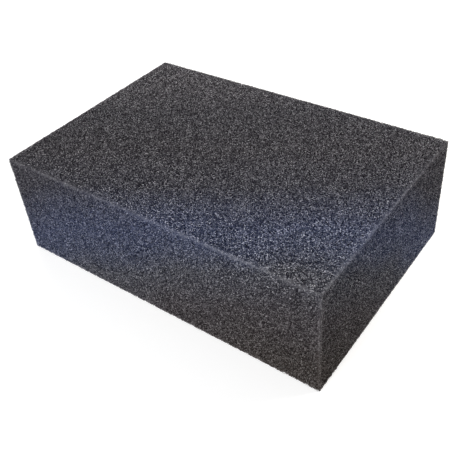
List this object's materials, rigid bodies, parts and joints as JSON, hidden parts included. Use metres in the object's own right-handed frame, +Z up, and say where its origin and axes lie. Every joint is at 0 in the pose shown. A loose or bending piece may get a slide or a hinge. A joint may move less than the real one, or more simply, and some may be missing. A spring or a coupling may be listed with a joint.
{
  "type": "grout sponge",
  "caption": "Rectangular block of dark open-cell foam with straight sawn faces and slightly worn edges, for wiping grout off tiles.",
  "frame": {"origin": "middle of the face the sponge lies on", "axes": "+X along the length, +Y across the width, +Z up through the thickness, out of the upper working face"},
  "size_m": [0.18, 0.122, 0.058],
  "materials": {
    "foam": "matte"
  },
  "bodies": {
    "root": {"sponge": "foam"}
  },
  "joints": []
}
